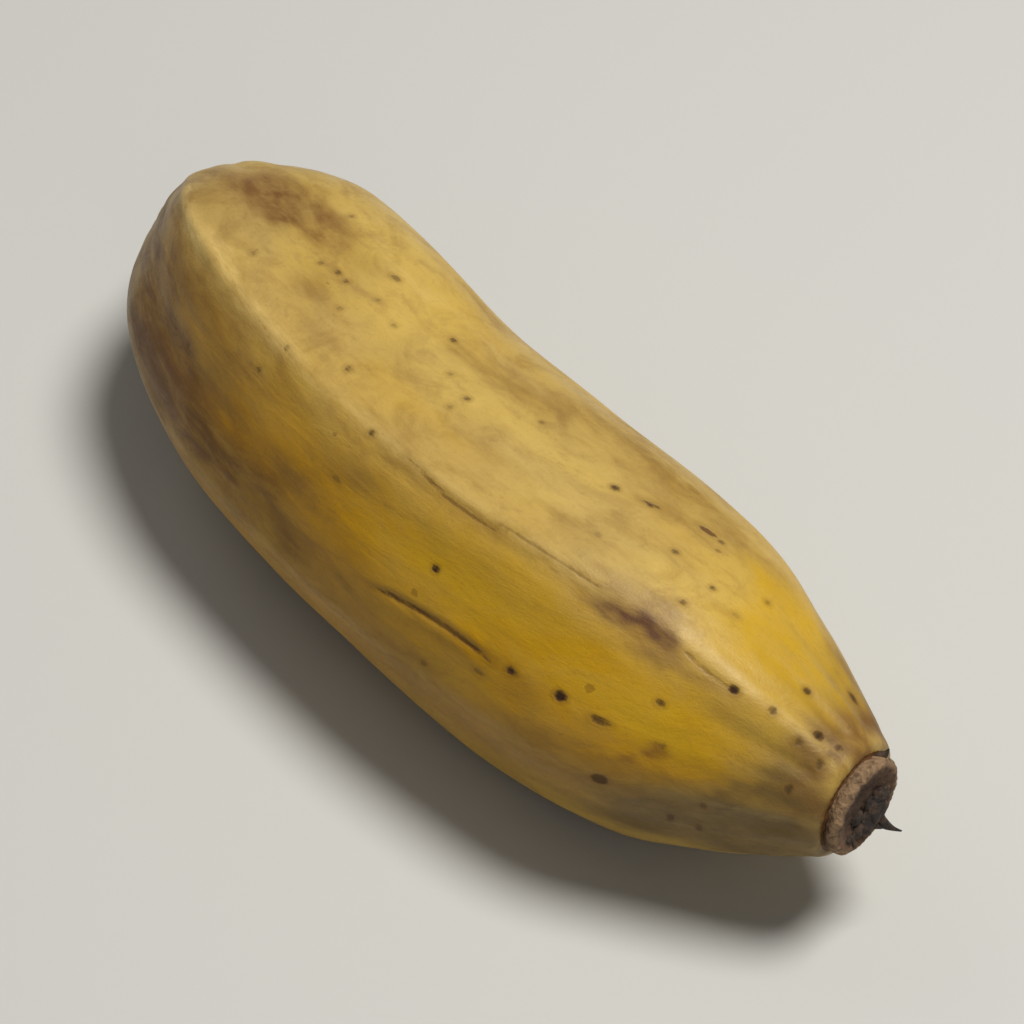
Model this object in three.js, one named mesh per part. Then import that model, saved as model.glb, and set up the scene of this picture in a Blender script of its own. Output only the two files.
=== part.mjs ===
// A whole cooking banana of the short, thick, angular kind, lying on its side.
// Millimetres, +Z up. +X runs from the stem end to the blossom end, and the fruit bows towards -Y.
// The origin is at the middle of the base, on the plane that the fruit rests on.
import * as THREE from 'three';
import { mergeVertices } from 'three/addons/utils/BufferGeometryUtils.js';

// Centre line of the fruit, as the control points of a cubic curve.
const axisStart = new THREE.Vector3(-74.0, 4.8, 19.3);
const axisStartPull = new THREE.Vector3(-60.1, -0.2, 22.1);
const axisEndPull = new THREE.Vector3(-32.3, -19.9, 18.6);
const axisEnd = new THREE.Vector3(66.2, 5.3, 20.4);
const axisLength = 143.2;

// How far the stem's cut face hangs below the centre line, and the length that bends down with it.
const stemDroop = 2.6;
const stemDroopLength = 13;

// Girth along the centre line: [distance from the stem's cut face, distance to a flat side].
const cutFace = [0.8, 4.7];
const stubEdge = [1.2, 5.3];
const body = [
  [4.0, 6.2],
  [6.7, 8.4],
  [12.2, 12.5],
  [23.1, 17.9],
  [40.8, 20.5],
  [61.2, 20.6],
  [81.6, 20.7],
  [99.3, 20.3],
  [113.0, 18.5],
  [123.9, 14.5],
  [133.4, 10.2],
  [137.0, 8.4],
  [138.9, 7.4],
];
const bodySteps = 38;

// Scar left by the flower at the blossom end: a groove, a corky ring and a shallow dish.
const groove = [139.3, 5.9];
const ring = [[139.7, 6.2], [140.7, 6.2], [141.2, 5.5]];
const dish = [[140.8, 4.2], [140.2, 2.5]];
const dishFloor = 140.0;

// Cross-section: the flat sides of the peel, as [direction, relative distance from the centre line].
// Directions are degrees from straight up, turning towards the bowed side.
const flatSides = [
  [354.0, 1.0],
  [61.0, 1.0],
  [119.5, 1.0],
  [180.0, 1.0],
  [222.7, 1.19],
  [265.5, 1.03],
  [310.0, 1.17],
];
const ridgeSharpness = 7;
const roundRadius = 1.05;
const around = 52;

// The ridges turn slowly around the centre line towards the blossom end, in degrees.
const twistMiddle = -2.4;
const twistSlope = -14.7;
const twistBend = -29.3;

// How far the underside is pressed flat where the fruit lies on its side.
const pressedFlat = 0.6;

// Relative radius of the angular section in a direction given in radians.
function angularRadius(direction) {
  let sum = 0;
  for (const [degrees, distance] of flatSides) {
    const facing = Math.cos(direction - THREE.MathUtils.degToRad(degrees));
    sum += Math.max(0, facing / distance) ** ridgeSharpness;
  }
  return sum ** (-1 / ridgeSharpness);
}

// How angular the fruit is at a distance along it: round at both ends, angular between them.
function angularity(distance) {
  const stem = THREE.MathUtils.smoothstep(distance, 0, 16);
  const blossom = 1 - THREE.MathUtils.smoothstep(distance, 123, 139);
  return 0.1 + 0.9 * Math.min(stem, blossom);
}

// Turn of the ridges at a fraction of the length, in radians.
function twistAt(fraction) {
  const x = fraction - 0.5;
  return THREE.MathUtils.degToRad(twistMiddle + twistSlope * x + twistBend * x * x);
}

// Straight fruit, revolved around Y from the stem's cut face to the flower scar.
function straightFruit() {
  const bodyCurve = new THREE.SplineCurve(body.map(([y, x]) => new THREE.Vector2(x, y)));
  const profile = [
    new THREE.Vector2(0, cutFace[0]),
    ...[cutFace, stubEdge].map(([y, x]) => new THREE.Vector2(x, y)),
    ...bodyCurve.getPoints(bodySteps),
    ...[groove, ...ring, ...dish].map(([y, x]) => new THREE.Vector2(x, y)),
    new THREE.Vector2(0, dishFloor),
  ];
  const geometry = new THREE.LatheGeometry(profile, around);
  geometry.deleteAttribute('normal');
  geometry.deleteAttribute('uv');
  return mergeVertices(geometry, 1e-4);
}

// Gives the straight fruit its angular section and bends it along the centre line.
function bendFruit(geometry) {
  const axis = new THREE.CubicBezierCurve3(axisStart, axisStartPull, axisEndPull, axisEnd);
  const up = new THREE.Vector3(0, 0, 1);
  const positions = geometry.getAttribute('position');
  for (let i = 0; i < positions.count; i += 1) {
    const distance = positions.getY(i);
    const direction = Math.atan2(positions.getX(i), positions.getZ(i));
    const fraction = distance / axisLength;
    const shape = THREE.MathUtils.lerp(roundRadius, angularRadius(direction), angularity(distance));
    const radius = Math.hypot(positions.getX(i), positions.getZ(i)) * shape;
    const centre = axis.getPointAt(fraction);
    centre.z -= stemDroop * (1 - THREE.MathUtils.smoothstep(distance, 0, stemDroopLength));
    const along = axis.getTangentAt(fraction);
    const left = new THREE.Vector3().crossVectors(up, along).normalize();
    const top = new THREE.Vector3().crossVectors(along, left);
    const angle = direction + twistAt(fraction);
    centre.addScaledVector(top, radius * Math.cos(angle));
    centre.addScaledVector(left, -radius * Math.sin(angle));
    positions.setXYZ(i, centre.x, centre.y, centre.z);
  }
  geometry.computeBoundingBox();
}

// Presses the underside flat, and moves the fruit so that its base is centred on the origin.
function restFruit(geometry) {
  const box = geometry.boundingBox;
  const floor = box.min.z + pressedFlat;
  const positions = geometry.getAttribute('position');
  for (let i = 0; i < positions.count; i += 1) {
    positions.setZ(i, Math.max(0, positions.getZ(i) - floor));
  }
  geometry.translate(-(box.min.x + box.max.x) / 2, -(box.min.y + box.max.y) / 2, 0);
  geometry.computeVertexNormals();
}

const fruit = straightFruit();
bendFruit(fruit);
restFruit(fruit);

const peel = new THREE.MeshStandardMaterial({ color: '#c39b3f', roughness: 0.5, metalness: 0 });
const banana = new THREE.Mesh(fruit, peel);
banana.name = 'banana';

const part = new THREE.Group();
part.add(banana);

export default part;
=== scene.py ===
from bisect import bisect_right
from math import atan2, cos, degrees, exp, hypot, pi, radians, sin

import bmesh
import bpy
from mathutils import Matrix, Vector, geometry, noise


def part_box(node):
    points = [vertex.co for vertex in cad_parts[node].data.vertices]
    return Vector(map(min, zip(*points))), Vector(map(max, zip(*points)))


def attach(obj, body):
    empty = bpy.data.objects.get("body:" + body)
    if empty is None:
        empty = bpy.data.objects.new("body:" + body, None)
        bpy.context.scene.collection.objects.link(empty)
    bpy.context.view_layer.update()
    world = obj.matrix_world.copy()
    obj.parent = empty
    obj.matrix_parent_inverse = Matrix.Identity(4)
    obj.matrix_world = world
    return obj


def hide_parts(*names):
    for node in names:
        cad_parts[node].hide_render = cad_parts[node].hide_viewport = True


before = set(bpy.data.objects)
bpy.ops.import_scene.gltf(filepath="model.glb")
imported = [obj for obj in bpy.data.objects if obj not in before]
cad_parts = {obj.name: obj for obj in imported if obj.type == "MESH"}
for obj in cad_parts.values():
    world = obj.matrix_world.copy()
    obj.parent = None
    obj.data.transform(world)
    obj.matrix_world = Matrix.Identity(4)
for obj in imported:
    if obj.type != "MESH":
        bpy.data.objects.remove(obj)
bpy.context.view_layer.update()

mm = 0.001
fruitLow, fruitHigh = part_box("banana")
print("frame loaded, fruit box", fruitLow, fruitHigh)


# small helpers

def smooth(x, low, high):
    x = min(1.0, max(0.0, (x - low) / (high - low)))
    return x * x * (3 - 2 * x)


def blend(a, b, share):
    return a + (b - a) * share


def turnGap(a, b):
    return (a - b + 180) % 360 - 180    # signed gap between two directions, degrees


def catmull(points, share):
    # one value between points[1] and points[2]
    a, b, c, d = points
    return 0.5 * (2 * b + (c - a) * share + (2 * a - 5 * b + 4 * c - d) * share ** 2
                  + (3 * b - a - 3 * c + d) * share ** 3)


# peel shape

# Lengths in mm. "along" runs from the stem's cut face to the blossom end.
# Directions are degrees from straight up, turning towards the bowed side.
fruit = {
    "axis": [(-74.0, 4.8, 19.3), (-60.1, -0.2, 22.1), (-32.3, -19.9, 18.6), (66.2, 5.3, 20.4)],
    "length": 143.2,
    "stemDroop": 2.6,
    "stemDroopLength": 13.0,
    # along, radius, rows of faces up to the next entry
    "girth": [
        (0.9, 0.0, 9), (0.8, 4.6, 3), (1.3, 5.3, 6), (4.0, 6.2, 7), (6.7, 8.4, 11), (12.2, 12.5, 22),
        (23.1, 17.9, 34), (40.8, 20.5, 38), (61.2, 20.6, 38), (81.6, 20.7, 34), (99.3, 20.3, 28),
        (113.0, 18.5, 24), (123.9, 14.5, 22), (133.4, 10.2, 9), (137.0, 8.4, 5), (138.7, 7.5, 4),
        (139.2, 6.7, 3), (139.2, 5.9, 3), (139.6, 6.0, 4), (140.4, 6.3, 4), (141.0, 6.0, 4), (141.2, 5.4, 4),
        (140.9, 4.7, 5), (140.4, 3.0, 8), (140.2, 0.0, 0),
    ],
    "around": 264,
    "flatSides": [(354.0, 1.0), (61.0, 1.0), (119.5, 1.0), (180.0, 1.0),
                  (222.7, 1.19), (265.5, 1.03), (310.0, 1.17)],
    "ridgeSharpness": 7.6,
    "roundRadius": 1.05,
    "twist": (-2.4, -14.7, -29.3),
    "pressedFlat": 0.6,
}

relief = {
    "broadSwell": 0.34,        # slow swells along the fruit
    "furrows": 0.17,           # shallow lengthwise furrows
    "fineFurrows": 0.05,
    "ridgeBead": 0.26,         # the raised seam on each ridge
    "ridgeBeadWidth": 1.15,
    "neckFolds": 0.58,         # drawn-in folds at both ends
    # along, direction, half length, half width, depth
    "dents": [
        (112, 29, 8, 3.2, 0.45), (34, 66, 9, 5, 0.35), (27, -8, 7, 6, 0.25), (74, -22, 12, 5, 0.25),
        (92, 52, 16, 4, 0.22), (64, 76, 12, 5, 0.3), (104, -28, 12, 4, 0.3), (120, 92, 8, 5, 0.3),
        (52, -70, 12, 7, 0.45), (86, -100, 16, 7, 0.4), (116, -80, 9, 6, 0.4), (40, -130, 12, 6, 0.35),
        (46, 12, 10, 4, 0.16), (88, 6, 12, 5, 0.15),
    ],
}


def axisTable():
    points = geometry.interpolate_bezier(*[Vector(p) for p in fruit["axis"]], 1200)
    reach = [0.0]
    for a, b in zip(points, points[1:]):
        reach.append(reach[-1] + (b - a).length)
    return points, [r / reach[-1] for r in reach]


axisPoints, axisReach = axisTable()


def axisAt(share):
    share = min(1.0, max(0.0, share))
    i = min(len(axisPoints) - 2, max(0, bisect_right(axisReach, share) - 1))
    rest = (share - axisReach[i]) / (axisReach[i + 1] - axisReach[i])
    return axisPoints[i].lerp(axisPoints[i + 1], rest)


def axisFrame(along):
    # centre, tangent, left and top of the centre line at a distance along it
    share = along / fruit["length"]
    centre = axisAt(share)
    centre.z -= fruit["stemDroop"] * (1 - smooth(along, 0, fruit["stemDroopLength"]))
    tangent = (axisAt(share + 0.002) - axisAt(share - 0.002)).normalized()
    left = Vector((0, 0, 1)).cross(tangent).normalized()
    return centre, tangent, left, tangent.cross(left)


def angularRadius(direction):
    total = 0.0
    for side, distance in fruit["flatSides"]:
        total += max(0.0, cos(direction - radians(side)) / distance) ** fruit["ridgeSharpness"]
    return total ** (-1 / fruit["ridgeSharpness"])


def findRidges():
    radii = [angularRadius(radians(d)) for d in range(360)]
    return [d for d in range(360) if radii[d] > radii[d - 1] and radii[d] >= radii[(d + 1) % 360]]


ridges = findRidges()
print("ridges at", ridges)


def girthRows():
    # along and radius of every row of the peel, on one smooth profile
    table = fruit["girth"]
    rows = []
    for i in range(len(table) - 1):
        near = [table[max(0, i - 1)], table[i], table[i + 1], table[min(len(table) - 1, i + 2)]]
        steps = table[i][2]
        for k in range(steps):
            along, radius = (catmull([n[axis] for n in near], k / steps) for axis in (0, 1))
            rows.append((along, max(0.0, radius)))
    rows.append(table[-1][:2])
    return rows


def angularity(along):
    return 0.1 + 0.9 * min(smooth(along, 0, 16), 1 - smooth(along, 123, 139))


def twistAt(along):
    x = along / fruit["length"] - 0.5
    a, b, c = fruit["twist"]
    return radians(a + b * x + c * x * x)


def splat(along, direction, radius, spot):
    # soft oval from 1 at its middle to 0 outside
    reach = (along - spot[0]) / spot[2]
    if abs(reach) > 2.2:
        return 0.0
    side = radians(turnGap(direction, spot[1])) * radius / spot[3]
    return exp(-(reach * reach + side * side))


def pathGap(along, direction, radius, path):
    # distance in mm from a polyline on the peel, and how far along it the nearest point is
    best, where = 99.0, 0.0
    here = Vector((along, radians(direction) * radius))
    for i in range(len(path) - 1):
        a = Vector((path[i][0], radians(path[i][1]) * radius))
        b = Vector((path[i + 1][0], radians(path[i + 1][1]) * radius))
        if along < a.x - 6 or along > b.x + 6:
            continue
        share = min(1.0, max(0.0, (here - a).dot(b - a) / (b - a).length_squared))
        gap = (here - a.lerp(b, share)).length
        if gap < best:
            best, where = gap, (i + share) / (len(path) - 1)
    return best, where


# cracks and creases: path of (along, direction), half width, depth, darkness, all lengths in mm
creases = [
    {"path": [(79.5, 72), (83, 69.6), (87.5, 68.2), (91, 67.6), (95, 68.2), (98.5, 69.4)],
     "width": 0.26, "depth": 0.42, "dark": 0.68},
    {"path": [(75.5, 28.8), (79, 29.6), (83, 31.2), (88, 31.3), (92.5, 30.6)], "width": 0.17, "depth": 0.14,
     "dark": 0.5},
    {"path": [(90, 28.2), (95, 28.6), (101, 28.4), (106, 28.6)], "width": 0.13, "depth": 0.1, "dark": 0.4},
    {"path": [(118, 31), (121.5, 33), (125, 33.4)], "width": 0.16, "depth": 0.12, "dark": 0.4},
    {"path": [(46, 29), (50, 29.4), (55, 29)], "width": 0.13, "depth": 0.08, "dark": 0.4},
    {"path": [(106, -23.5), (108.5, -24.5)], "width": 0.4, "depth": 0.14, "dark": 0.8},
    {"path": [(99, -14), (101.5, -17)], "width": 0.24, "depth": 0.1, "dark": 0.7},
    {"path": [(60, -118), (66, -117), (74, -116), (80, -117.5)], "width": 0.22, "depth": 0.2, "dark": 0.7},
    {"path": [(96, -62), (102, -61.5), (107, -62.5)], "width": 0.2, "depth": 0.15, "dark": 0.6},
]

# small dark specks: along, direction, half length, half width, darkness
specks = [
    (86.5, 52.5, 0.62, 0.55, 1.0), (101.3, 68.5, 0.75, 0.55, 1.0), (108.1, 67.6, 0.95, 0.75, 1.0),
    (113.6, 69.5, 1.3, 0.55, 0.75), (118.7, 53.0, 0.6, 0.5, 0.8), (115.6, 92.5, 1.1, 0.9, 0.7),
    (120.8, 70.0, 0.5, 0.4, 0.5), (125.0, 32.8, 0.7, 0.55, 1.0),
    (134.6, 23.5, 0.65, 0.6, 0.95), (129.5, 30.0, 0.4, 0.55, 0.7), (133.6, 35.5, 0.4, 0.7, 0.6),
    (130.2, 4.5, 0.55, 0.45, 0.85), (133.2, -29.0, 0.9, 0.5, 0.75), (114.6, 0.5, 0.45, 0.5, 0.8),
    (108.0, -2.5, 0.6, 0.45, 0.7), (114.2, 15.8, 0.55, 0.45, 0.75), (95.7, -11.0, 0.7, 0.6, 0.85),
    (100.4, -14.5, 0.55, 0.5, 0.7), (81.0, -17.0, 0.5, 0.45, 0.5), (72.6, -3.6, 0.5, 0.35, 0.75),
    (72.6, 4.2, 0.4, 0.3, 0.5), (67.6, -7.8, 0.4, 0.3, 0.6), (62.1, -21.2, 0.6, 0.5, 0.8),
    (48.2, -22.6, 1.0, 0.6, 0.55), (44.3, -5.0, 0.65, 0.4, 0.65), (46.4, -5.0, 0.5, 0.4, 0.75),
    (41.6, -2.0, 0.4, 0.35, 0.5), (56.4, -6.5, 0.6, 0.45, 0.4), (51.4, -9.5, 0.4, 0.35, 0.4),
    (50.4, 4.6, 0.4, 0.3, 0.45), (59.7, 18.6, 0.55, 0.4, 0.75), (69.4, 29.6, 0.5, 0.35, 0.75),
    (36.0, 16.2, 0.5, 0.35, 0.45), (33.0, -27.5, 0.4, 0.35, 0.5), (50.6, 39.6, 0.5, 0.4, 0.5),
    (52.0, 28.0, 0.35, 0.35, 0.5), (100.6, 12.6, 0.5, 0.3, 0.4), (127.0, 94.0, 0.5, 0.7, 0.5),
    (123.2, 110.0, 0.5, 0.9, 0.5), (126.4, 114.0, 0.5, 0.9, 0.45), (135.0, 66.5, 0.4, 0.7, 0.7),
    (137.0, 20.0, 0.4, 0.5, 0.8), (136.6, 40.0, 0.35, 0.6, 0.7), (119.2, -18.0, 0.4, 0.35, 0.5),
    (38.4, 56.5, 0.5, 0.7, 0.3), (68.6, 49.0, 0.9, 0.5, 0.35), (109.5, -24.0, 0.6, 0.5, 0.6),
    (118.9, 3.0, 0.3, 0.3, 0.4), (90.0, 84.0, 0.7, 0.4, 0.4), (97.5, 75.0, 0.8, 0.4, 0.45),
    (44.0, -96.0, 0.7, 0.6, 0.8), (58.0, -84.0, 0.5, 0.5, 0.8), (77.0, -92.0, 0.9, 0.7, 0.9),
    (93.0, -108.0, 0.6, 0.5, 0.8), (104.0, -88.0, 0.7, 0.5, 0.7), (118.0, -102.0, 0.6, 0.6, 0.8),
    (30.0, -70.0, 0.6, 0.5, 0.7), (66.0, -140.0, 0.8, 0.6, 0.8), (97.0, -150.0, 0.7, 0.6, 0.7),
    (35.0, 130.0, 0.7, 0.6, 0.8), (62.0, 150.0, 0.8, 0.6, 0.8), (88.0, 138.0, 0.6, 0.5, 0.7),
    (126.0, -60.0, 0.6, 0.5, 0.8), (131.0, -120.0, 0.6, 0.5, 0.8), (18.0, -60.0, 0.5, 0.5, 0.7),
    (15.0, 100.0, 0.6, 0.5, 0.7), (21.0, 170.0, 0.6, 0.5, 0.7), (112.0, 170.0, 0.7, 0.6, 0.8),
]

# soft coloured zones of the peel: along, direction, half length, half width, strength
zones = {
    "ochre": [
        (42, 52, 26, 8, 0.75), (84, 56, 24, 9, 0.95), (114, 62, 14, 9, 0.9), (120, 74, 6, 5, 0.95),
        (60, 82, 26, 8, 0.8),
        (100, 84, 22, 7, 0.8), (56, 110, 30, 10, 0.7), (100, 112, 20, 9, 0.5), (60, -80, 24, 8, 0.6),
        (110, -70, 16, 8, 0.5), (80, -130, 26, 9, 0.6), (70, 165, 34, 10, 0.7),
    ],
    "golden": [
        (124, -4, 8, 9, 0.95), (128, -28, 7, 6, 0.8), (132, 14, 6, 6, 0.7), (119, -34, 5, 6, 0.6),
        (86, 50, 13, 6, 0.7), (104, 50, 14, 6, 0.6), (121, 60, 8, 6, 0.85), (92, 78, 12, 4, 0.45),
        (60, 84, 12, 4, 0.5), (74, 14, 14, 3, 0.3), (60, -30, 10, 4, 0.25), (107, -12, 8, 4, 0.25),
        (64, -90, 22, 10, 0.6), (110, -110, 16, 9, 0.7), (40, 150, 14, 8, 0.4), (90, 150, 16, 8, 0.5),
        (30, -110, 10, 8, 0.4),
    ],
    # pale seams on the ridges: partly wear, partly a painted highlight on the ridge edges
    "seamWearAndHighlight": [
        (23, 28.5, 7, 0.9, 0.8), (37, 28, 9, 1.0, 0.8), (50, 29, 6, 0.8, 0.4), (103, 27.4, 3, 0.45, 0.5),
        (66, 26, 8, 0.7, 0.3), (60, -28, 22, 0.8, 0.4), (100, -40, 14, 0.7, 0.5),
    ],
    "brown": [
        # the two long entries at about 100 degrees are painted shade on the underside band
        (20, 60, 10, 9, 0.45), (48, 72, 14, 7, 0.35), (33, 42, 14, 4, 0.35), (60, 97, 30, 8, 0.35),
        (102, 101, 22, 7, 0.4), (15, 20, 6, 8, 0.2),
        (36, 67, 6, 3.6, 0.95), (30, 57, 8, 5, 0.6), (136.5, 0, 2.4, 12, 0.35), (137, -35, 3, 6, 0.5),
        (136, 46, 3, 6, 0.55),
        (131, -48, 6, 3, 0.5), (33, 76, 3, 2.4, 0.8), (52, 76, 4, 2.5, 0.7), (61, 70, 4, 2, 0.6),
        (67, 78, 5, 2, 0.6), (26, 64, 3, 2, 0.6), (25, 74, 9, 6, 0.6), (41, 80, 12, 5, 0.55),
        (21, 46, 6, 5, 0.4), (70, 44, 6, 2.6, 0.4), (73, 66, 6, 3, 0.5), (60, 60, 8, 2.6, 0.4),
        (52, 84, 7, 3, 0.4), (50, 62, 8, 4, 0.35), (72, -21, 9, 2.6, 0.5), (84, -30, 9, 3, 0.5),
        (97, -36, 12, 3.4, 0.65), (101, -20, 7, 2.6, 0.35), (113, -30, 5, 2.4, 0.45),
        (46, 6, 5, 4, 0.45), (18, 10, 7, 7, 0.25), (60, 4, 5, 3, 0.25), (80, 8, 6, 3, 0.25),
        (43, -14, 4, 3, 0.3), (99, 20, 7, 2.5, 0.25), (76, 31, 6, 0.9, 0.35), (86, 31, 8, 1.0, 0.3),
        (98, 29, 8, 0.8, 0.5), (80, 84, 10, 4, 0.35), (108, 84, 10, 4, 0.3), (95, 72, 12, 1.6, 0.4),
        (40, 38, 12, 2.2, 0.4), (56, 38, 8, 2, 0.3), (63, -118, 14, 4, 0.6), (95, -70, 12, 4, 0.5),
        (40, -85, 9, 5, 0.55), (80, -140, 14, 5, 0.5), (118, -95, 7, 5, 0.5), (55, 130, 16, 6, 0.5),
        (105, 160, 12, 5, 0.5), (24, 140, 7, 6, 0.5), (16, -90, 6, 6, 0.5),
    ],
    "ruddy": [
        (136, -12, 3, 3, 0.5), (137, 14, 2.5, 3, 0.45), (134, -38, 4, 2.5, 0.4), (137.5, 60, 2, 4, 0.5),
        (26, -10, 5, 4, 0.95), (20, -5, 4, 4, 0.4), (28, -1, 3, 3, 0.35), (32, -15, 4.5, 3.4, 0.75),
        (38, -13, 3.4, 2.6, 0.7), (30, 82, 14, 6, 0.35), (36, 70, 5, 4, 0.4),
        (22, 5, 2.5, 1.8, 0.35), (20, -7, 4, 4, 0.35), (47, 8, 3, 2, 0.25), (120.6, 70, 1.3, 1.1, 1.0),
        (118.6, 80, 1.5, 1.0, 0.9), (121.5, 76, 3, 2, 0.4), (84, 83, 4, 1.6, 0.4), (70, -80, 5, 3, 0.6),
    ],
    "bruise": [
        (109.3, 30.0, 4.0, 1.2, 0.85), (114.2, 30.6, 2.8, 1.0, 0.6), (121, 33, 4.5, 0.8, 0.45),
        (111, 25, 5, 2.0, 0.3), (114, 36, 4, 1.4, 0.25), (103, -74, 4, 2, 0.7), (36, -120, 5, 3, 0.5),
    ],
    "olive": [
        # the entries from 80 to 140 degrees below the tip are partly a grey-olive tinge of the peel and partly
        # painted shade on the underside
        (127, 100, 9, 6, 0.7), (134, 82, 5, 6, 0.6), (136, 112, 6, 8, 0.8), (120, 118, 10, 6, 0.6),
        (131, 140, 8, 8, 0.6), (137, 40, 2.5, 5, 0.4), (136, -60, 3, 5, 0.5), (133, -140, 6, 8, 0.5),
        (132, -42, 5, 6, 0.35), (134, -14, 4, 7, 0.16), (133, 18, 4, 5, 0.15), (127, 0, 5, 10, 0.12),
        (128, 40, 6, 5, 0.2), (118, 108, 14, 5, 0.4),
    ],
    "buttery": [
        (38, -38, 10, 4, 0.5), (88, -4, 10, 5, 0.5), (66, -8, 9, 6, 0.45), (95, 18, 10, 4, 0.5),
        (110, 8, 6, 4, 0.6), (118, 12, 5, 5, 0.5), (53, -22, 7, 4, 0.4), (36, 24, 8, 2.4, 0.5),
        (78, -90, 10, 6, 0.4), (50, -110, 9, 5, 0.4), (100, -130, 9, 6, 0.4),
    ],
}


def reliefAt(along, direction, radius):
    # how far the surface stands out from the smooth shape, mm
    turn = radians(direction)
    y, z = radius * cos(turn), radius * sin(turn)
    middle = min(smooth(along, 6, 20), 1 - smooth(along, 126, 137))
    height = relief["broadSwell"] * noise.noise(Vector((along * 0.05, y * 0.06, z * 0.06)))
    height += relief["furrows"] * noise.noise(Vector((along * 0.022, y * 0.2 + 7, z * 0.2)))
    height += relief["fineFurrows"] * noise.noise(Vector((along * 0.09, y * 0.62, z * 0.62 + 3)))
    height *= 0.35 + 0.65 * middle
    for ridge in ridges:
        gap = radians(turnGap(direction, ridge)) * radius
        if abs(gap) < 4:
            strength = 0.65 + 0.5 * noise.noise(Vector((along * 0.07, ridge, 0)))
            if abs(ridge - 30) < 6:
                strength += 1.1 * exp(-((along - 30) / 20) ** 2)
            elif abs(ridge - 90) < 6:
                strength *= 0.25
            height += relief["ridgeBead"] * strength * middle * exp(-(gap / relief["ridgeBeadWidth"]) ** 2)
    ends = max(smooth(along, 112, 131) * (1 - smooth(along, 135.8, 137.4)),
               smooth(along, 3.0, 5.0) * (1 - smooth(along, 9, 24)))
    if ends > 0:
        fold = noise.noise(Vector((along * 0.03, cos(turn) * 2.9, sin(turn) * 2.9)))
        fold += 0.5 * noise.noise(Vector((along * 0.06, cos(turn) * 6.5, sin(turn) * 6.5 + 4)))
        height += relief["neckFolds"] * ends * fold
    for dent in relief["dents"]:
        height -= dent[4] * splat(along, direction, radius, dent)
    for crease in creases:
        gap, where = pathGap(along, direction, radius, crease["path"])
        if gap < 3:
            ease = smooth(where, 0, 0.15) * (1 - smooth(where, 0.85, 1))
            height += crease["depth"] * ease * (0.35 * exp(-(gap / 1.3) ** 2)
                                                - exp(-(gap / (crease["width"] * 1.7)) ** 2))
    return height


def scarRelief(along, radius, direction):
    # crumbly ring and dish of the flower scar: shift along the fruit and change of radius, mm
    turn = radians(direction)
    spot = Vector((cos(turn) * radius, sin(turn) * radius, along * 0.4))
    crumb = noise.noise(spot * 0.9) + 0.6 * noise.noise(spot * 2.1)
    return 0.28 * crumb, 0.22 * noise.noise(Vector((cos(turn) * 1.6, sin(turn) * 1.6, along)))


def buildPeel():
    rows = girthRows()
    mesh = bpy.data.meshes.new("peel")
    bm = bmesh.new()
    # a straight seam, revolved into a tube with one ring of faces for each row
    ends = [bm.verts.new((x, 0, 1)) for x in (0, len(rows) - 1)]
    seam = bm.edges.new(ends)
    bmesh.ops.subdivide_edges(bm, edges=[seam], cuts=len(rows) - 2)
    bmesh.ops.spin(bm, geom=bm.verts[:] + bm.edges[:], cent=(0, 0, 0), axis=(1, 0, 0), angle=2 * pi,
                   steps=fruit["around"], use_merge=True)
    straight = bm.verts.layers.float_vector.new("straight")
    layers = {name: bm.verts.layers.float.new(name) for name in
              list(zones) + ["ridgeLine", "speckEdge", "speckDark", "creaseEdge", "creaseDark", "scar", "stub"]}
    frames = [axisFrame(along) for along, radius in rows]
    shapes = {}
    for vert in bm.verts:
        row = round(vert.co.x)
        along, radius = rows[row]
        turn = atan2(-vert.co.y, vert.co.z)
        direction = degrees(turn)
        key = round(direction * 50)
        if key not in shapes:
            shapes[key] = angularRadius(turn)
        reach = radius * blend(fruit["roundRadius"], shapes[key], angularity(along))
        centre, tangent, left, top = frames[row]
        shift = 0.0
        inScar = row > len(rows) - 39
        if inScar:
            shift, widen = scarRelief(along, reach, direction)
            fade = smooth(row, len(rows) - 39, len(rows) - 31)
            shift *= fade
            reach += widen * fade * min(1.0, reach / 3)
        if reach > 0.5:
            reach += reliefAt(along, direction, reach) * (0.15 if inScar or row < 14 else 1.0)
        angle = turn + twistAt(along)
        vert.co = centre + tangent * shift + top * (reach * cos(angle)) - left * (reach * sin(angle))
        vert[straight] = Vector((along, reach * cos(turn), reach * sin(turn)))
        paintVert(vert, layers, along, direction, max(3.0, reach), row, len(rows))
    bmesh.ops.remove_doubles(bm, verts=bm.verts[:], dist=0.004)
    settlePeel(bm)
    bmesh.ops.recalc_face_normals(bm, faces=bm.faces[:])
    for face in bm.faces:
        face.smooth = True
    bm.to_mesh(mesh)
    bm.free()
    piece = bpy.data.objects.new("peel", mesh)
    bpy.context.scene.collection.objects.link(piece)
    return piece


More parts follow.
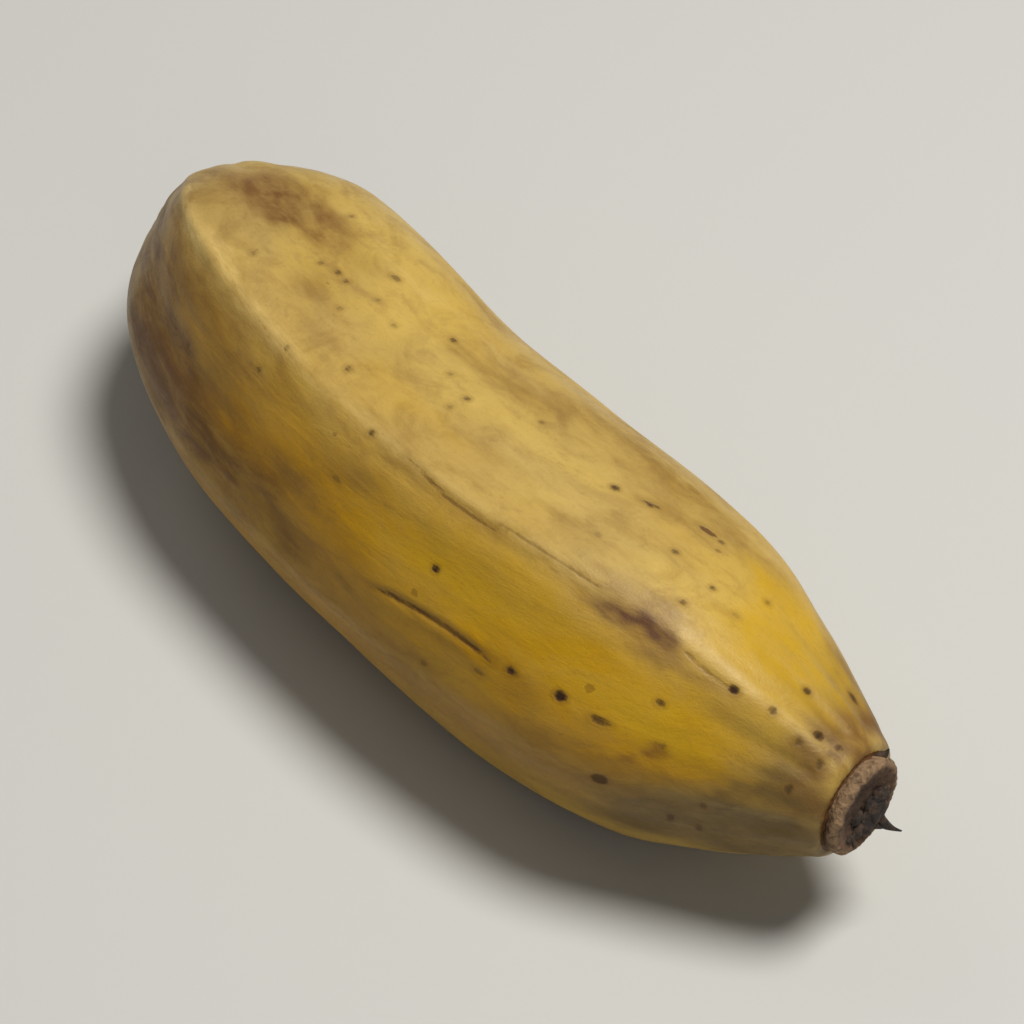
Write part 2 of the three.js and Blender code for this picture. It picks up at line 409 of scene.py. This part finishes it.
def paintVert(vert, layers, along, direction, radius, row, rowCount):
    # zone strengths with ragged edges, and distances to specks and creases in mm
    turn = radians(direction)
    spot = Vector((along * 0.1, cos(turn) * radius * 0.24, sin(turn) * radius * 0.24))
    warpAlong = along + 3.2 * noise.noise(spot) + 1.2 * noise.noise(spot * 3.1)
    warpTurn = direction + (2.2 * noise.noise(spot + Vector((9, 0, 0)))
                            + 1.0 * noise.noise(spot * 3.3 + Vector((5, 0, 0)))) * 57.3 / radius
    for name, spots in zones.items():
        value = 0.0
        for item in spots:
            value += item[4] * splat(warpAlong, warpTurn, radius, item)
        vert[layers[name]] = min(1.0, value)
    # a pale line along each ridge, partly wear and partly a painted highlight
    nearest = min(ridges, key=lambda ridge: abs(turnGap(direction, ridge)))
    faint = 0.25 if abs(nearest - 90) < 6 else 0.8
    vert[layers["ridgeLine"]] = faint * exp(-(radians(turnGap(direction, nearest)) * radius / 1.0) ** 2)
    edge, dark = 3.0, 0.0
    for item in specks:
        if abs(along - item[0]) < 4:
            side = radians(turnGap(direction, item[1])) * radius
            if abs(side) < 4:
                reach = hypot((along - item[0]) / max(0.48, item[2]), side / max(0.48, item[3]))
                gap = (reach * reach - 0.85) * 0.5 * min(item[2], item[3])
                if gap < edge:
                    edge, dark = gap, item[4]
    vert[layers["speckEdge"]] = edge
    vert[layers["speckDark"]] = dark
    edge, dark = 3.0, 0.0
    for crease in creases:
        gap, where = pathGap(along, direction, radius, crease["path"])
        taper = 0.25 + 0.75 * smooth(where, 0, 0.2) * (1 - smooth(where, 0.8, 1))
        gap -= crease["width"] * taper
        if gap < edge:
            edge, dark = gap, crease["dark"]
    vert[layers["creaseEdge"]] = edge
    vert[layers["creaseDark"]] = dark
    vert[layers["scar"]] = smooth(row, rowCount - 35, rowCount - 32)
    if rowCount - 35 <= row <= rowCount - 32:    # the dark groove behind the corky ring
        vert[layers["creaseEdge"]], vert[layers["creaseDark"]] = -0.9, 0.9
    vert[layers["stub"]] = 1 - smooth(row, 9, 15)


def settlePeel(bm):
    # press the underside flat, and bring the fruit to the place of its solid
    low = Vector([min(v.co[i] for v in bm.verts) for i in range(3)])
    high = Vector([max(v.co[i] for v in bm.verts) for i in range(3)])
    floor = low.z + fruit["pressedFlat"]
    middle = (Vector(fruitLow) + Vector(fruitHigh)) / 2
    for vert in bm.verts:
        vert.co.z = max(0.0, vert.co.z - floor)
    bmesh.ops.scale(bm, vec=(mm, mm, mm), verts=bm.verts[:])
    fruit["shift"] = Vector((middle.x - (low.x + high.x) / 2 * mm, middle.y - (low.y + high.y) / 2 * mm,
                             fruitLow[2]))
    fruit["floor"] = floor
    bmesh.ops.translate(bm, vec=fruit["shift"], verts=bm.verts[:])


peel = buildPeel()
print("peel built:", len(peel.data.vertices), "points,", len(peel.data.polygons), "faces")


# dried flower

driedFlower = {
    # place on the scar: out from the ring, towards the bowed side, up; size, all mm
    "crumbs": [
        (-0.2, -1.8, -2.2, 1.9), (-0.2, -2.9, -1.0, 1.4), (-0.1, -0.6, -3.4, 1.6), (-0.3, -3.9, -0.2, 0.8),
        (-0.1, -2.9, -3.3, 1.4), (-0.3, 1.2, -3.6, 1.2), (-0.3, -4.2, -1.9, 1.1),
        (-0.5, 1.0, -1.4, 1.0), (-0.2, 2.9, -3.4, 0.8), (-0.1, -1.8, -4.0, 1.2),
    ],
    "spikeFrom": (-0.4, -2.8, -2.2),
    "spikeTo": (2.6, -4.5, -6.7),
    "spikeRadius": 1.1,
    "bits": [((-1.4, -4.0, 4.6), (-0.4, -5.0, 5.9), 0.9), ((0.0, -1.4, -3.0), (1.3, -2.2, -5.0), 0.9),
             ((-0.3, 2.0, -3.6), (0.9, 2.6, -4.6), 0.5)],
}


def scarPlace(out, towards, up):
    # point in metres from its place on the flower scar
    centre, tangent, left, top = axisFrame(140.8)
    point = centre + tangent * out - left * towards + top * up
    point.z -= fruit["floor"]
    return point * mm + fruit["shift"]


def addCrumb(bm, place, size, seed):
    made = bmesh.ops.create_icosphere(bm, subdivisions=4, radius=size * mm)
    for vert in made["verts"]:
        lump = noise.noise(vert.co * (1100 / size) + Vector((seed * 3.7, 0, 0)))
        lump += 0.5 * noise.noise(vert.co * (2600 / size) + Vector((0, seed * 2.3, 0)))
        vert.co *= 1 + 0.34 * lump
        vert.co.x *= 0.7
    bmesh.ops.translate(bm, vec=scarPlace(*place), verts=made["verts"])


def addSpike(bm, start, end, radius, seed):
    start, end = scarPlace(*start), scarPlace(*end)
    length = (end - start).length
    first = len(bm.verts)
    made = bmesh.ops.create_cone(bm, cap_ends=True, segments=20, radius1=radius * mm, radius2=radius * 0.12 * mm,
                                 depth=length)
    sides = {e for v in made["verts"] for e in v.link_edges if abs(e.verts[0].co.z - e.verts[1].co.z) > 1e-5}
    bmesh.ops.subdivide_edges(bm, edges=list(sides), cuts=22)
    verts = bm.verts[first:]
    for vert in verts:
        share = vert.co.z / length + 0.5
        turn = atan2(vert.co.y, vert.co.x)
        crease = 1 + 0.3 * noise.noise(Vector((cos(turn) * 1.7, sin(turn) * 1.7, share * 2.4 + seed)))
        vert.co.x *= crease
        vert.co.y *= crease * 0.7
        vert.co.x += 0.16 * length * sin(share * pi)
    turn = Vector((0, 0, 1)).rotation_difference(end - start).to_matrix()
    bmesh.ops.rotate(bm, cent=(0, 0, 0), matrix=turn, verts=verts)
    bmesh.ops.translate(bm, vec=(start + end) / 2, verts=verts)


def buildDriedFlower():
    mesh = bpy.data.meshes.new("driedFlower")
    bm = bmesh.new()
    for seed, crumb in enumerate(driedFlower["crumbs"]):
        addCrumb(bm, crumb[:3], crumb[3], seed)
    addSpike(bm, driedFlower["spikeFrom"], driedFlower["spikeTo"], driedFlower["spikeRadius"], 1)
    for seed, (start, end, radius) in enumerate(driedFlower["bits"]):
        addSpike(bm, start, end, radius, seed + 5)
    bmesh.ops.recalc_face_normals(bm, faces=bm.faces[:])
    for face in bm.faces:
        face.smooth = True
    bm.to_mesh(mesh)
    bm.free()
    piece = bpy.data.objects.new("driedFlower", mesh)
    bpy.context.scene.collection.objects.link(piece)
    return piece


flower = buildDriedFlower()
print("dried flower built")


# node helpers

def newMaterial(name):
    material = bpy.data.materials.new(name)
    material.use_nodes = True
    tree = material.node_tree
    tree.nodes.clear()
    output = tree.nodes.new("ShaderNodeOutputMaterial")
    shader = tree.nodes.new("ShaderNodeBsdfPrincipled")
    tree.links.new(shader.outputs["BSDF"], output.inputs["Surface"])
    return material, tree, shader


def put(tree, socket, value):
    # a number, a colour or another node's output goes into a socket
    if isinstance(value, bpy.types.NodeSocket):
        tree.links.new(value, socket)
    elif hasattr(socket.default_value, "__len__") and len(socket.default_value) == 4 and len(value) == 3:
        socket.default_value = (*value, 1)
    else:
        socket.default_value = value


def mathNode(tree, operation, *values, clamp=False):
    node = tree.nodes.new("ShaderNodeMath")
    node.operation = operation
    node.use_clamp = clamp
    for socket, value in zip(node.inputs, values):
        put(tree, socket, value)
    return node.outputs[0]


def mixColour(tree, share, a, b, mode="MIX"):
    node = tree.nodes.new("ShaderNodeMix")
    node.data_type = "RGBA"
    node.blend_type = mode
    put(tree, node.inputs["Factor"], share)
    put(tree, node.inputs[6], a)
    put(tree, node.inputs[7], b)
    return node.outputs[2]


def mapRange(tree, value, fromLow, fromHigh, toLow=0.0, toHigh=1.0):
    node = tree.nodes.new("ShaderNodeMapRange")
    node.interpolation_type = "SMOOTHSTEP"
    for socket, number in zip(node.inputs, (value, fromLow, fromHigh, toLow, toHigh)):
        put(tree, socket, number)
    return node.outputs[0]


def noiseNode(tree, vector, scale, detail=4.0, rough=0.55, warp=0.0):
    node = tree.nodes.new("ShaderNodeTexNoise")
    put(tree, node.inputs["Vector"], vector)
    for name, value in (("Scale", scale), ("Detail", detail), ("Roughness", rough), ("Distortion", warp)):
        node.inputs[name].default_value = value
    return node.outputs["Fac"]


def stretched(tree, vector, scale, place=(0, 0, 0)):
    node = tree.nodes.new("ShaderNodeMapping")
    put(tree, node.inputs["Vector"], vector)
    node.inputs["Scale"].default_value = scale
    node.inputs["Location"].default_value = place
    return node.outputs["Vector"]


def readAttribute(tree, name, kind="Fac"):
    node = tree.nodes.new("ShaderNodeAttribute")
    node.attribute_name = name
    return node.outputs[kind]


def newGroup(name, inputs, outputs):
    group = bpy.data.node_groups.new(name, "ShaderNodeTree")
    for label, kind, value in inputs:
        socket = group.interface.new_socket(label, in_out="INPUT", socket_type=kind)
        if value is not None:
            socket.default_value = value
    for label, kind in outputs:
        group.interface.new_socket(label, in_out="OUTPUT", socket_type=kind)
    return group, group.nodes.new("NodeGroupInput").outputs, group.nodes.new("NodeGroupOutput").inputs


def useGroup(tree, group, **values):
    node = tree.nodes.new("ShaderNodeGroup")
    node.node_tree = group
    for label, value in values.items():
        put(tree, node.inputs[label], value)
    return node.outputs


def makeFleckGroup():
    # scattered small flecks of uneven size: one in a few cells carries a fleck
    group, given, out = newGroup("scatteredFlecks", [
        ("Vector", "NodeSocketVector", None), ("Density", "NodeSocketFloat", 0.2),
        ("Share", "NodeSocketFloat", 0.3), ("Size", "NodeSocketFloat", 0.2)], [("Mask", "NodeSocketFloat")])
    cells = group.nodes.new("ShaderNodeTexVoronoi")
    group.links.new(given["Vector"], cells.inputs["Vector"])
    group.links.new(given["Density"], cells.inputs["Scale"])
    split = group.nodes.new("ShaderNodeSeparateColor")
    group.links.new(cells.outputs["Color"], split.inputs[0])
    chosen = mathNode(group, "LESS_THAN", split.outputs[0], given["Share"])
    size = mathNode(group, "MULTIPLY", given["Size"], mathNode(group, "ADD", split.outputs[1], 0.3))
    ragged = mathNode(group, "MULTIPLY_ADD", noiseNode(group, given["Vector"], 1.9, 3), 0.16, -0.08)
    gap = mathNode(group, "ADD", cells.outputs["Distance"], ragged)
    inside = mapRange(group, mathNode(group, "SUBTRACT", size, gap), 0.0, 0.05)
    put(group, out["Mask"], mathNode(group, "MULTIPLY", inside, chosen))
    return group


def makeFibreGroup():
    # fine lengthwise fibres, from 0 to 1 around 0.5
    group, given, out = newGroup("lengthwiseFibres", [
        ("Vector", "NodeSocketVector", None)], [("Broad", "NodeSocketFloat"), ("Fine", "NodeSocketFloat")])
    broad = noiseNode(group, stretched(group, given["Vector"], (0.085, 0.31, 0.31)), 1.0, 6, 0.64, 0.45)
    fine = noiseNode(group, stretched(group, given["Vector"], (0.26, 1.5, 1.5)), 1.0, 4, 0.6, 0.7)
    put(group, out["Broad"], broad)
    put(group, out["Fine"], fine)
    return group


fleckGroup = makeFleckGroup()
fibreGroup = makeFibreGroup()


# peel material

peelLook = {
    "tan": (0.485, 0.33, 0.10),
    "tanWarm": (0.545, 0.365, 0.082),
    "tanDull": (0.33, 0.205, 0.062),
    "ochre": (0.53, 0.27, 0.006),
    "stain": (0.25, 0.135, 0.026),
    # pale seam colour of the ridges: partly wear, partly a painted highlight
    "seamWearAndHighlight": (0.68, 0.49, 0.17),
    "golden": (0.56, 0.33, 0.008),
    "buttery": (0.63, 0.45, 0.12),
    "brown": (0.16, 0.068, 0.005),
    "ruddy": (0.16, 0.064, 0.016),
    "bruise": (0.13, 0.060, 0.026),
    "olive": (0.165, 0.10, 0.026),
    # pale line colour on the ridges: partly wear, partly a painted highlight
    "ridgeWearAndHighlight": (0.66, 0.47, 0.16),
    "speck": (0.036, 0.014, 0.005),
    "crease": (0.10, 0.038, 0.010),
    "cork": (0.34, 0.215, 0.115),
    "corkBrown": (0.17, 0.098, 0.058),
    "corkDark": (0.045, 0.026, 0.017),
    "cutFace": (0.10, 0.062, 0.034),
    "roughLow": 0.36,
    "roughHigh": 0.58,
    "coat": 0.03,
    "specular": 0.27,
    "coatRoughness": 0.34,
    "bumpDistance": 0.00035,
}


def makePeelMaterial():
    look = peelLook
    material, tree, shader = newMaterial("bananaPeel")
    place = readAttribute(tree, "straight", "Vector")
    zone = {name: readAttribute(tree, name) for name in
            list(zones) + ["ridgeLine", "speckEdge", "speckDark", "creaseEdge", "creaseDark", "scar", "stub"]}
    fibres = useGroup(tree, fibreGroup, Vector=place)
    blotch = noiseNode(tree, stretched(tree, place, (0.075, 0.13, 0.13)), 1.0, 6, 0.62, 0.6)
    patch = noiseNode(tree, stretched(tree, place, (0.035, 0.06, 0.06), (4, 0, 0)), 1.0, 3, 0.5, 0.4)
    grain = noiseNode(tree, place, 1.6, 5, 0.65)

    # ground colour: dull and warm tan in slow patches
    colour = mixColour(tree, mapRange(tree, patch, 0.36, 0.64), look["tan"], look["tanWarm"])
    colour = mixColour(tree, mapRange(tree, blotch, 0.5, 0.72, 0, 0.6), colour, look["tanDull"])
    colour = mixColour(tree, mathNode(tree, "MULTIPLY", zone["buttery"], mapRange(tree, blotch, 0.3, 0.6, 1, 0.5)),
                       colour, look["buttery"])
    mottle = noiseNode(tree, stretched(tree, place, (0.16, 0.27, 0.27), (3, 11, 2)), 1.0, 6, 0.66, 0.5)
    colour = mixColour(tree, mapRange(tree, mottle, 0.48, 0.7, 0, 0.5), colour, look["tanDull"])
    colour = mixColour(tree, mapRange(tree, mottle, 0.46, 0.28, 0, 0.3), colour, look["buttery"])
    stain = noiseNode(tree, stretched(tree, place, (0.06, 0.1, 0.1), (20, 5, 0)), 1.0, 7, 0.68, 0.9)
    cloud = mathNode(tree, "MAXIMUM", mapRange(tree, stain, 0.5, 0.72, 0, 0.5),
                     mapRange(tree, fibres["Broad"], 0.54, 0.74, 0, 0.36))
    ochre = mathNode(tree, "MULTIPLY", zone["ochre"], mapRange(tree, blotch, 0.35, 0.7, 1, 0.6))
    colour = mixColour(tree, ochre, colour, look["ochre"])
    colour = mixColour(tree, cloud, colour, look["stain"])
    gold = mathNode(tree, "MULTIPLY", zone["golden"], mapRange(tree, fibres["Broad"], 0.3, 0.6, 1, 0.62))
    colour = mixColour(tree, gold, colour, look["golden"])

    # veils that follow the fibres
    def veil(colour, name, low, high, amount=1.0):
        broken = mapRange(tree, mathNode(tree, "ADD", fibres["Broad"], mathNode(tree, "MULTIPLY", blotch, 0.6)),
                          0.55, 0.98, low, high)
        share = mathNode(tree, "MULTIPLY", mathNode(tree, "MULTIPLY", zone[name], broken), amount, clamp=True)
        return mixColour(tree, share, colour, look[name])

    # the brown and olive veils also carry painted shade on the underside band
    colour = veil(colour, "brown", 0.45, 1.2, 0.85)
    colour = veil(colour, "olive", 0.8, 1.0)
    colour = veil(colour, "ruddy", 0.5, 1.15, 0.85)
    colour = veil(colour, "bruise", 0.8, 1.2)

    # small changes everywhere: fibres, grain, faint freckles
    streak = mapRange(tree, fibres["Fine"], 0.52, 0.78, 0, 0.1)
    colour = mixColour(tree, streak, colour, look["tanDull"], "MULTIPLY")
    colour = mixColour(tree, mapRange(tree, grain, 0.5, 0.8, 0, 0.2), colour, look["brown"])
    freckles = useGroup(tree, fleckGroup, Vector=place, Density=0.2, Share=0.2, Size=0.12)["Mask"]
    colour = mixColour(tree, mathNode(tree, "MULTIPLY", freckles, 0.4), colour, look["crease"])

    # pale seam of the ridges, broken along its length: partly wear, partly a painted highlight on the ridge edges
    seamWearAndHighlight = mathNode(tree, "MULTIPLY", zone["ridgeLine"], mapRange(tree, fibres["Broad"], 0.4, 0.62, 0.55, 0.0))
    seamWearAndHighlight = mathNode(tree, "MULTIPLY", seamWearAndHighlight, mathNode(tree, "SUBTRACT", 1.0, zone["bruise"], clamp=True))
    colour = mixColour(tree, seamWearAndHighlight, colour, look["ridgeWearAndHighlight"])
    edge = mathNode(tree, "MULTIPLY", zone["seamWearAndHighlight"], mapRange(tree, fibres["Fine"], 0.3, 0.6, 1, 0.4))
    colour = mixColour(tree, edge, colour, look["seamWearAndHighlight"])

    # flower scar and cut stem
    crumble = noiseNode(tree, place, 1.1, 6, 0.7)
    radial = mathNode(tree, "SQRT", mathNode(tree, "ADD", *[
        mathNode(tree, "POWER", part, 2.0) for part in splitVector(tree, place)[1:]]))
    inner = mathNode(tree, "ADD", radial, mathNode(tree, "MULTIPLY_ADD", crumble, 2.4, -1.2))
    inner = mapRange(tree, inner, 4.6, 3.0, 0.0, 0.6)
    rim = mathNode(tree, "ADD", radial, mathNode(tree, "MULTIPLY_ADD", crumble, 1.2, -0.6))
    rim = mapRange(tree, rim, 5.5, 6.1)
    cork = mixColour(tree, rim, look["corkBrown"], look["cork"])
    cork = mixColour(tree, inner, cork, look["corkDark"])
    cork = mixColour(tree, mapRange(tree, crumble, 0.42, 0.7, 0, 0.75), cork, look["corkDark"])
    colour = mixColour(tree, zone["scar"], colour, cork)
    cut = mixColour(tree, mapRange(tree, crumble, 0.35, 0.65), look["cutFace"], look["corkDark"])
    colour = mixColour(tree, zone["stub"], colour, cut)

    # creases and specks with ragged edges and a faint brown halo
    ragged = mathNode(tree, "MULTIPLY_ADD", noiseNode(tree, place, 1.1, 4, 0.55), 0.5, -0.25)
    creaseGap = mathNode(tree, "ADD", zone["creaseEdge"], ragged)
    crease = mathNode(tree, "MULTIPLY", mapRange(tree, creaseGap, 0.22, -0.1), zone["creaseDark"])
    creaseHalo = mathNode(tree, "MULTIPLY", mapRange(tree, creaseGap, 1.5, 0.0, 0, 0.35), zone["creaseDark"])
    speckGap = mathNode(tree, "ADD", zone["speckEdge"], mathNode(tree, "MULTIPLY", ragged, 0.8))
    speck = mathNode(tree, "MULTIPLY", mapRange(tree, speckGap, 0.16, -0.2), zone["speckDark"])
    speckHalo = mathNode(tree, "MULTIPLY", mapRange(tree, speckGap, 0.9, 0.0, 0, 0.35), zone["speckDark"])
    colour = mixColour(tree, mathNode(tree, "MAXIMUM", creaseHalo, speckHalo), colour, look["brown"])
    colour = mixColour(tree, crease, colour, look["crease"])
    colour = mixColour(tree, speck, colour, look["speck"])

    put(tree, shader.inputs["Base Color"], colour)

    rough = mapRange(tree, mathNode(tree, "ADD", blotch, mathNode(tree, "MULTIPLY", grain, 0.5)), 0.55, 0.95,
                     look["roughLow"], look["roughHigh"])
    dry = mathNode(tree, "MULTIPLY", mathNode(tree, "MAXIMUM", speck, zone["scar"]), 0.35)
    rough = mathNode(tree, "ADD", rough, dry, clamp=True)
    put(tree, shader.inputs["Roughness"], rough)
    shader.inputs["Specular IOR Level"].default_value = look["specular"]
    shader.inputs["Coat Weight"].default_value = look["coat"]
    shader.inputs["Coat Roughness"].default_value = look["coatRoughness"]

    pores = noiseNode(tree, place, 3.6, 3, 0.6)
    height = mathNode(tree, "MULTIPLY", fibres["Fine"], 0.2)
    height = mathNode(tree, "MULTIPLY_ADD", fibres["Broad"], 0.7, height)
    height = mathNode(tree, "MULTIPLY_ADD", pores, 0.14, height)
    height = mathNode(tree, "MULTIPLY_ADD", speck, -0.7, height)
    height = mathNode(tree, "MULTIPLY_ADD", crease, -0.5, height)
    height = mathNode(tree, "MULTIPLY_ADD", mathNode(tree, "MULTIPLY", zone["scar"], crumble), 3.0, height)
    bump = tree.nodes.new("ShaderNodeBump")
    bump.inputs["Strength"].default_value = 0.7
    bump.inputs["Distance"].default_value = look["bumpDistance"]
    put(tree, bump.inputs["Height"], height)
    put(tree, shader.inputs["Normal"], bump.outputs["Normal"])
    return material


def splitVector(tree, vector):
    node = tree.nodes.new("ShaderNodeSeparateXYZ")
    put(tree, node.inputs[0], vector)
    return list(node.outputs)


def makeDriedMaterial():
    material, tree, shader = newMaterial("driedFlower")
    place = tree.nodes.new("ShaderNodeTexCoord").outputs["Object"]
    crumble = noiseNode(tree, place, 900.0, 5, 0.7)
    colour = mixColour(tree, mapRange(tree, crumble, 0.4, 0.7), (0.016, 0.010, 0.007), (0.085, 0.05, 0.03))
    put(tree, shader.inputs["Base Color"], colour)
    put(tree, shader.inputs["Roughness"], mapRange(tree, crumble, 0.3, 0.7, 0.7, 0.9))
    bump = tree.nodes.new("ShaderNodeBump")
    bump.inputs["Strength"].default_value = 0.8
    bump.inputs["Distance"].default_value = 0.0004
    put(tree, bump.inputs["Height"], crumble)
    put(tree, shader.inputs["Normal"], bump.outputs["Normal"])
    return material


peel.data.materials.append(makePeelMaterial())
flower.data.materials.append(makeDriedMaterial())
print("materials made")


# floor, light and camera

studio = {
    "floorColour": (0.57, 0.57, 0.545),
    "floorSize": 3.0,
    "target": (4.75, 5.48, 20.15),
    "azimuth": 53.5,
    "elevation": 47.0,
    "distance": 510.0,
    "lens": 141.0,
    "world": 0.10,
    # place in metres, size in metres, power in watts, colour
    "lights": [
        ((0.20, 0.26, 1.00), 0.42, 11.2, (1.0, 0.975, 0.93)),
        ((0.75, -0.35, 0.60), 0.6, 0.7, (1.0, 0.98, 0.96)),
        ((-0.75, -0.15, 0.80), 0.7, 0.7, (0.97, 0.98, 1.0)),
    ],
}


def buildStudio():
    mesh = bpy.data.meshes.new("floor")
    bm = bmesh.new()
    bmesh.ops.create_grid(bm, x_segments=1, y_segments=1, size=studio["floorSize"] / 2)
    bm.to_mesh(mesh)
    bm.free()
    floor = bpy.data.objects.new("floor", mesh)
    bpy.context.scene.collection.objects.link(floor)
    material, tree, shader = newMaterial("paleFloor")
    shader.inputs["Base Color"].default_value = (*studio["floorColour"], 1)
    shader.inputs["Roughness"].default_value = 0.85
    floor.data.materials.append(material)

    world = bpy.data.worlds.new("softRoom")
    world.use_nodes = True
    world.node_tree.nodes["Background"].inputs["Color"].default_value = (1, 1, 1, 1)
    world.node_tree.nodes["Background"].inputs["Strength"].default_value = studio["world"]
    bpy.context.scene.world = world
    aim = Vector(studio["target"]) * mm
    for number, (place, size, power, colour) in enumerate(studio["lights"]):
        data = bpy.data.lights.new(f"softLight{number}", "AREA")
        data.shape = "DISK"
        data.size = size
        data.energy = power
        data.color = colour
        light = bpy.data.objects.new(data.name, data)
        light.location = place
        light.rotation_euler = (aim - Vector(place)).to_track_quat("-Z", "Y").to_euler()
        bpy.context.scene.collection.objects.link(light)

    azimuth, elevation = radians(studio["azimuth"]), radians(studio["elevation"])
    back = Vector((sin(azimuth) * cos(elevation), -cos(azimuth) * cos(elevation), sin(elevation)))
    data = bpy.data.cameras.new("camera")
    data.lens = studio["lens"]
    data.clip_start = 0.01
    camera = bpy.data.objects.new("camera", data)
    camera.location = aim + back * studio["distance"] * mm
    camera.rotation_euler = (-back).to_track_quat("-Z", "Y").to_euler()
    bpy.context.scene.collection.objects.link(camera)
    bpy.context.scene.camera = camera
    bpy.context.scene.view_settings.view_transform = "Standard"


buildStudio()
print("studio ready")

for piece in (peel, flower):
    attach(piece, "root")
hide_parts("banana")
